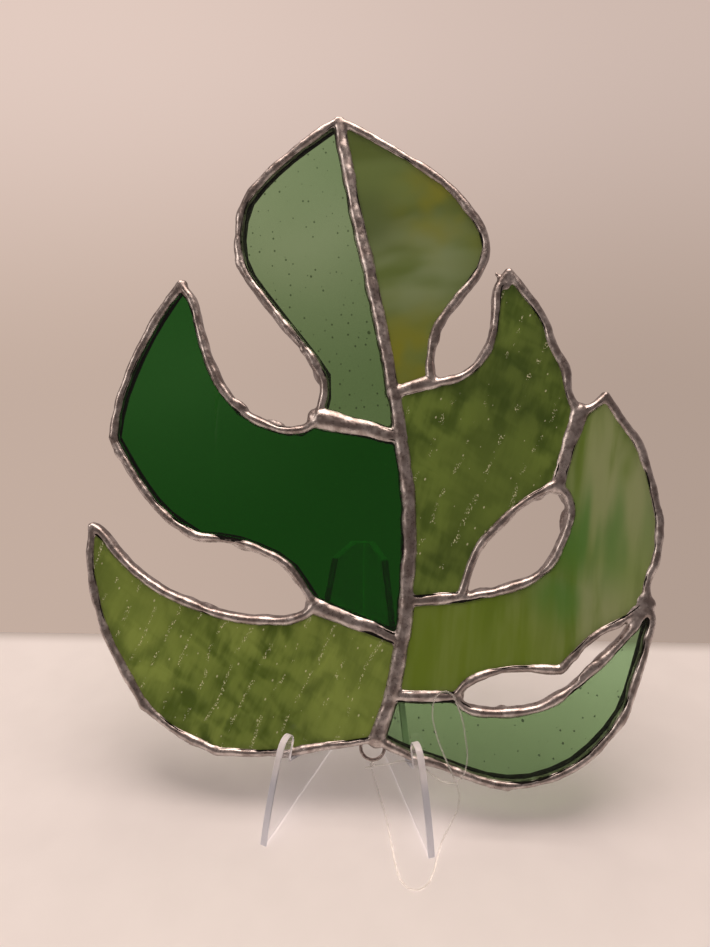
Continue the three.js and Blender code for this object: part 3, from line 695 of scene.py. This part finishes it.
LINE_THICKNESS = 0.0005
LINE_ROUTE = [
    (5.2, -35.4, 15.7), (9, -36.2, 17), (13, -36.8, 19.1), (16.4, -36.8, 19.2), (18.9, -36.9, 18.85),
    (21.1, -37.5, 17.5), (23.6, -38.6, 16), (26.9, -40.1, 15.3), (31.1, -41.9, 17.4),
    (33.5, -41.2, 23.6), (32.9, -38.2, 31.3), (30.7, -33.6, 38.3), (27.6, -30.6, 41.8),
    (24.4, -31, 41.2), (22.8, -33, 37.6), (23.8, -37.2, 31.9), (26.9, -42.2, 26.3),
    (30.4, -45.2, 19.5), (31.6, -45.2, 12), (29.8, -46.4, 6), (26.8, -50.4, 1.8), (25.2, -55.6, 0.4),
    (23.9, -60.6, 0.3), (21.9, -64.6, 0.3), (18.4, -66.4, 0.3), (15.2, -64.6, 0.3),
    (13.1, -59.4, 0.3), (11.6, -52.6, 0.5), (9.6, -45.2, 3.2), (7, -39.6, 7.6), (4.9, -36.6, 12.2),
    (4.2, -35.7, 14.2),
]
line_curve = bpy.data.curves.new("nylon_line", "CURVE")
line_curve.dimensions = "3D"
line_curve.bevel_depth = LINE_THICKNESS / 2
line_curve.bevel_resolution = 3
line_curve.resolution_u = 8
line_curve.use_fill_caps = True
spline = line_curve.splines.new("BEZIER")
spline.bezier_points.add(len(LINE_ROUTE) - 1)
for point, place in zip(spline.bezier_points, LINE_ROUTE):
    point.co = Vector(place) / 1000
    point.handle_left_type = point.handle_right_type = "AUTO"
line = bpy.data.objects.new("nylon_line", line_curve)
scene.collection.objects.link(line)

knot_low, knot_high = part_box("line_knot")
knot_middle, knot_radius = (knot_low + knot_high) / 2, (knot_high.z - knot_low.z) / 2
shape = bmesh.new()
for i in range(5):
    turn = i * math.tau / 5
    lobe = Matrix.Translation(knot_middle + knot_radius * Vector(
        (0.42 * math.cos(turn), 0.35 * math.sin(turn * 2), 0.42 * math.sin(turn))))
    bmesh.ops.create_icosphere(shape, subdivisions=3, radius=knot_radius * 0.62, matrix=lobe)
tail = Matrix.Translation(knot_middle + Vector((-0.0009, -0.0006, -0.0005))) @ Matrix.Rotation(
    math.radians(70), 4, "Y")
bmesh.ops.create_cone(shape, segments=12, radius1=LINE_THICKNESS / 2, radius2=LINE_THICKNESS / 2,
                      depth=0.0024, cap_ends=True, matrix=tail)
knot_mesh = bpy.data.meshes.new("nylon_knot")
shape.to_mesh(knot_mesh)
shape.free()
knot = bpy.data.objects.new("nylon_knot", knot_mesh)
scene.collection.objects.link(knot)
fuse = knot.modifiers.new("fuse", "REMESH")
fuse.mode, fuse.voxel_size = "VOXEL", 0.0001
bpy.context.view_layer.update()
knot.data = bpy.data.meshes.new_from_object(knot.evaluated_get(bpy.context.evaluated_depsgraph_get()))
knot.modifiers.clear()
for polygon in knot.data.polygons:
    polygon.use_smooth = True

nylon, tree = new_material("clear_nylon")
where = put(tree, "ShaderNodeTexCoord").outputs["Object"]
haze = put(tree, "ShaderNodeTexNoise", {"Vector": where, "Scale": 300.0, "Detail": 2.0}).outputs[0]
tone = blend_colour(tree, fade(tree, haze, 0.35, 0.65), (0.80, 0.79, 0.77, 1), (0.86, 0.85, 0.83, 1))
bump = put(tree, "ShaderNodeBump", {"Strength": 0.1, "Distance": 0.0001, "Height": haze})
body = put(tree, "ShaderNodeBsdfPrincipled", {
    "Base Color": tone, "Roughness": 0.2, "IOR": 1.53, "Transmission Weight": 0.88,
    "Normal": bump.outputs[0]})
light_passes(tree, body, (0.9, 0.9, 0.9))
line.data.materials.append(nylon)
knot.data.materials.append(nylon)
for piece, node in ((line, "hanging_line"), (knot, "line_knot")):
    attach(piece, "root")
    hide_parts(node)

# ---------------------------------------------------------------------------
# The surroundings: a pale table top whose back edge is rounded off just behind the leaf,
# and beyond it a plain pinkish wall. They are not part of the object.

TABLE_BACK, EDGE_ROUND = 0.0564, 0.010
TABLE_HALF_WIDTH, TABLE_MIDDLE, TABLE_FRONT = 1.4, -0.3, -1.4
TABLE_TURN = math.radians(3.43)  # the back edge is not quite square to the easel
shape = bmesh.new()
bmesh.ops.create_grid(shape, x_segments=2, y_segments=2, size=1.0)
for vert in shape.verts:
    vert.co.x *= TABLE_HALF_WIDTH
    vert.co.y = TABLE_BACK if vert.co.y > 0.5 else (TABLE_MIDDLE if vert.co.y > -0.5 else TABLE_FRONT)
rear = [e for e in shape.edges if all(v.co.y > TABLE_BACK - 1e-6 for v in e.verts)]
bmesh.ops.spin(shape, geom=rear + list({v for e in rear for v in e.verts}), axis=(1, 0, 0),
               cent=(0, TABLE_BACK, -EDGE_ROUND), angle=math.radians(-90), steps=8)
bmesh.ops.remove_doubles(shape, verts=shape.verts, dist=1e-6)
bmesh.ops.recalc_face_normals(shape, faces=shape.faces)
bmesh.ops.rotate(shape, verts=shape.verts, cent=(0, 0, 0), matrix=Matrix.Rotation(TABLE_TURN, 3, "Z"))
table_mesh = bpy.data.meshes.new("table_top")
shape.to_mesh(table_mesh)
shape.free()
for polygon in table_mesh.polygons:
    polygon.use_smooth = True
table = bpy.data.objects.new("table_top", table_mesh)
scene.collection.objects.link(table)
table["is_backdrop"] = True

table_paint, tree = new_material("matt_pale_table")
where = put(tree, "ShaderNodeTexCoord").outputs["Object"]
tooth = put(tree, "ShaderNodeTexNoise", {"Vector": where, "Scale": 60.0, "Detail": 2.0}).outputs[0]
squared = put(tree, "ShaderNodeMapping", {"Vector": where, "Rotation": (0, 0, -TABLE_TURN)}).outputs[0]
back = put(tree, "ShaderNodeSeparateXYZ", {0: squared}).outputs[1]
tone = blend_colour(tree, fade(tree, tooth, 0.3, 0.7), (0.83, 0.825, 0.82, 1), (0.85, 0.845, 0.84, 1))
# Over its last few millimetres the top darkens into the wall's tone: painted shade on the rounded back edge.
tone = blend_colour(tree, fade(tree, back, TABLE_BACK - 0.006, TABLE_BACK + 0.004), tone,
                    (0.52, 0.50, 0.48, 1))
body = put(tree, "ShaderNodeBsdfPrincipled", {"Base Color": tone, "Roughness": 0.65})
put(tree, "ShaderNodeOutputMaterial", {"Surface": body.outputs[0]})
table.data.materials.append(table_paint)

# The wall is the world's colour: lighter above and to the left. The room that the metal
# and the glass mirror is darker on the near side.
world = bpy.data.worlds.new("room")
scene.world = world
world.use_nodes = True
tree = world.node_tree
tree.nodes.clear()
looking = put(tree, "ShaderNodeSeparateXYZ", {0: put(tree, "ShaderNodeTexCoord").outputs["Generated"]})
lift = put(tree, "ShaderNodeMapRange", {"Value": looking.outputs[2], "From Min": -0.25, "From Max": 0.2,
                                        "To Min": 0.97, "To Max": 1.36}, interpolation_type="SMOOTHSTEP")
across = put(tree, "ShaderNodeMapRange", {"Value": looking.outputs[0], "From Min": -0.5, "From Max": 0.4,
                                          "To Min": 1.0, "To Max": 0.80}, interpolation_type="SMOOTHSTEP")
level = math_node(tree, "MULTIPLY", lift.outputs[0], across.outputs[0])
high = fade(tree, looking.outputs[2], -0.2, 0.15)
wall_colour = blend_colour(tree, high, (0.565, 0.432, 0.362, 1), (0.560, 0.440, 0.388, 1))
wall = put(tree, "ShaderNodeBackground", {"Color": wall_colour, "Strength": level})
away = fade(tree, looking.outputs[1], -0.35, 0.45)
room_colour = blend_colour(tree, away, (0.17, 0.138, 0.128, 1), (0.34, 0.27, 0.245, 1))
room = put(tree, "ShaderNodeBackground", {"Color": room_colour, "Strength": 1.0})
ray = put(tree, "ShaderNodeLightPath")
seen = math_node(tree, "MAXIMUM", ray.outputs["Is Camera Ray"], ray.outputs["Is Transmission Ray"])
both = put(tree, "ShaderNodeMixShader", {0: seen, 1: room.outputs[0], 2: wall.outputs[0]})
put(tree, "ShaderNodeOutputWorld", {"Surface": both.outputs[0]})


def softbox(name, place, aim, size, power, colour):
    lamp = bpy.data.lights.new(name, "AREA")
    lamp.shape, lamp.size, lamp.energy, lamp.color = "DISK", size, power, colour
    holder = bpy.data.objects.new(name, lamp)
    scene.collection.objects.link(holder)
    holder.location = place
    holder.rotation_euler = (Vector(aim) - Vector(place)).to_track_quat("-Z", "Y").to_euler()
    return holder


softbox("ceiling_light", (-0.02, 0.14, 0.88), (0.0, 0.0, 0.0), 0.78, 6.65, (1.0, 0.82, 0.73))
softbox("window_light", (-0.75, -0.35, 0.55), (0.0, 0.0, 0.1), 0.45, 1.3, (1.0, 0.87, 0.79))

# The camera stands a little above the leaf, in front and slightly to the right.
camera_data = bpy.data.cameras.new("camera")
camera_data.lens = 27.03
camera_data.sensor_width = 36.0
camera_data.clip_start = 0.01
camera = bpy.data.objects.new("camera", camera_data)
scene.collection.objects.link(camera)
yaw, pitch, roll = math.radians(4.638), math.radians(20.784), math.radians(0.207)
ahead = Vector((-math.sin(yaw) * math.cos(pitch), math.cos(yaw) * math.cos(pitch), -math.sin(pitch)))
right = Vector((math.cos(yaw), math.sin(yaw), 0))
up = right.cross(ahead)
turned_right = math.cos(roll) * right + math.sin(roll) * up
turned_up = -math.sin(roll) * right + math.cos(roll) * up
camera.matrix_world = Matrix.Translation((0.01301, -0.21577, 0.18439)) @ Matrix(
    (turned_right, turned_up, -ahead)).transposed().to_4x4()
scene.camera = camera
scene.view_settings.view_transform = "Standard"

low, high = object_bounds()
